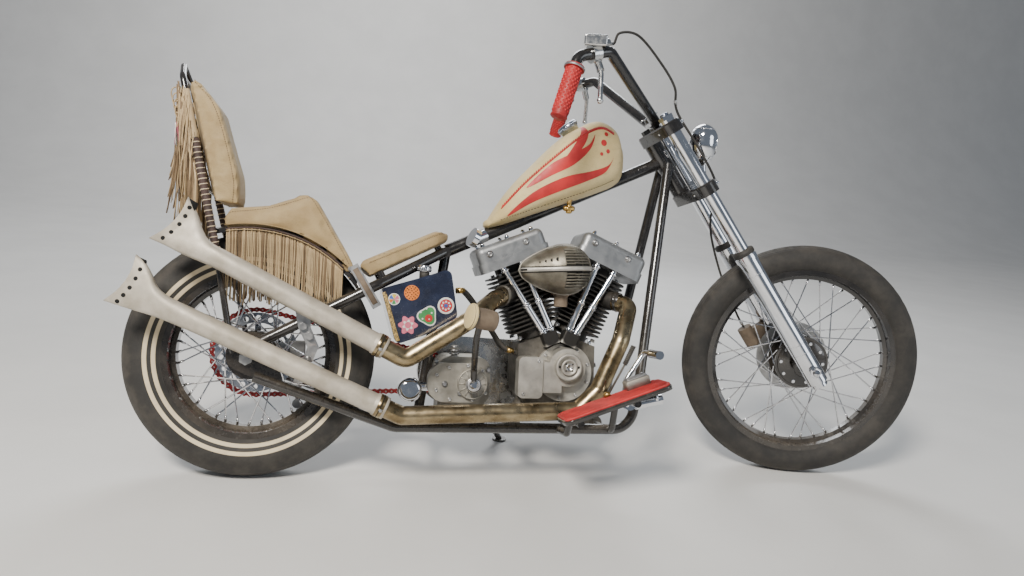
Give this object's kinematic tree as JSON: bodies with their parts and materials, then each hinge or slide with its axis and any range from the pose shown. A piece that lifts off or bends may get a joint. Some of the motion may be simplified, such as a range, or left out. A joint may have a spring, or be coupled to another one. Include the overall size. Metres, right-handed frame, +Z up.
{
  "type": "chopper motorcycle",
  "caption": "Rigid-frame chopper motorcycle with a V-twin engine, laced wheels and a leather seat, leaning on its side stand.",
  "frame": {"origin": "middle of the parked machine's footprint on the floor, its bounding box's bottom centre", "axes": "+X forward, +Y to the rider's left, the side it leans to, +Z up"},
  "size_m": [2.2562, 0.9716, 1.2383],
  "materials": {
    "black_paint": "gloss black enamel, dusty",
    "tank_leather": "cream laced leather with red scallops",
    "seat_leather": "tan nubuck leather",
    "navy_paint": "gloss navy enamel",
    "cast_alloy": "bead-blasted casting",
    "alloy_cover": "satin grey",
    "polished_alloy": "polished",
    "black_iron": "matte black fins",
    "chrome": "polished chrome",
    "bronzed_steel": "heat-browned pipe",
    "pale_coating": "matte pale heat coating",
    "red_board": "red ribbed mat over a black board",
    "red_chain": "red chain",
    "bare_steel": "machined steel",
    "tyre": "dusty rubber",
    "black_rubber": "black hose",
    "black_rim": "gloss black",
    "spoke_steel": "bright steel",
    "red_rubber": "red ribbed grip"
  },
  "bodies": {
    "chassis": {"frame": "black_paint", "fuel_tank": "tank_leather", "fluid_fittings": "chrome", "front_seat": "seat_leather", "rear_seat": "seat_leather", "backrest": "seat_leather", "fringe": "seat_leather", "sissy_bar": "black_paint", "rear_fender": "black_paint", "steel_brackets": "bare_steel", "oil_tank": "navy_paint", "oil_lines": "black_rubber", "oil_filter": "chrome", "crankcase": "cast_alloy", "timing_cover": "cast_alloy", "cylinders": "black_iron", "rocker_boxes": "alloy_cover", "pushrod_tubes": "chrome", "carburettor": "cast_alloy", "air_cleaner": "cast_alloy", "horn": "chrome", "gearbox": "cast_alloy", "kick_lever": "black_paint", "primary_cover": "polished_alloy", "exhaust_headers": "bronzed_steel", "fishtails": "pale_coating", "floorboards": "red_board", "foot_pedals": "chrome", "drive_chain": "red_chain", "chain_tensioner": "bare_steel", "rear_caliper": "bare_steel", "rear_axle": "bare_steel"},
    "front_end": {"lower_tree": "black_paint", "upper_tree": "black_paint", "fork_tubes": "chrome", "fork_sliders": "chrome", "handlebar": "black_paint", "grips": "red_rubber", "hand_levers": "bare_steel", "headlight": "chrome", "cables": "black_rubber", "front_caliper": "cast_alloy", "front_axle": "bare_steel"},
    "front_wheel": {"front_tyre": "tyre", "front_rim": "black_rim", "front_spokes": "spoke_steel", "front_hub": "black_rim", "front_disc": "bare_steel"},
    "rear_wheel": {"rear_tyre": "tyre", "rear_rim": "black_rim", "rear_spokes": "spoke_steel", "rear_hub": "black_rim", "rear_sprocket": "bare_steel"},
    "side_stand": {"side_stand": "black_paint"}
  },
  "joints": [
    {"name": "steering", "type": "hinge", "parent": "chassis", "child": "front_end", "pos_m": [0.74541, -0.11868, 0.32107], "axis": [-0.5752, 0.1563, 0.8029], "range_deg": [-17.9, 52.1]},
    {"name": "front_wheel_spin", "type": "hinge", "parent": "front_end", "child": "front_wheel", "pos_m": [0.78528, -0.12806, 0.35145], "axis": [0.2409, 0.9704, -0.0163], "continuous": true},
    {"name": "rear_wheel_spin", "type": "hinge", "parent": "chassis", "child": "rear_wheel", "pos_m": [-0.8088, -0.11968, 0.31271], "axis": [0.0004, 0.9816, -0.1908], "continuous": true},
    {"name": "side_stand_fold", "type": "hinge", "parent": "chassis", "child": "side_stand", "pos_m": [-0.14838, -0.0007, 0.1086], "axis": [0.137, 0.7053, 0.6955], "range_deg": [0, 100]}
  ]
}
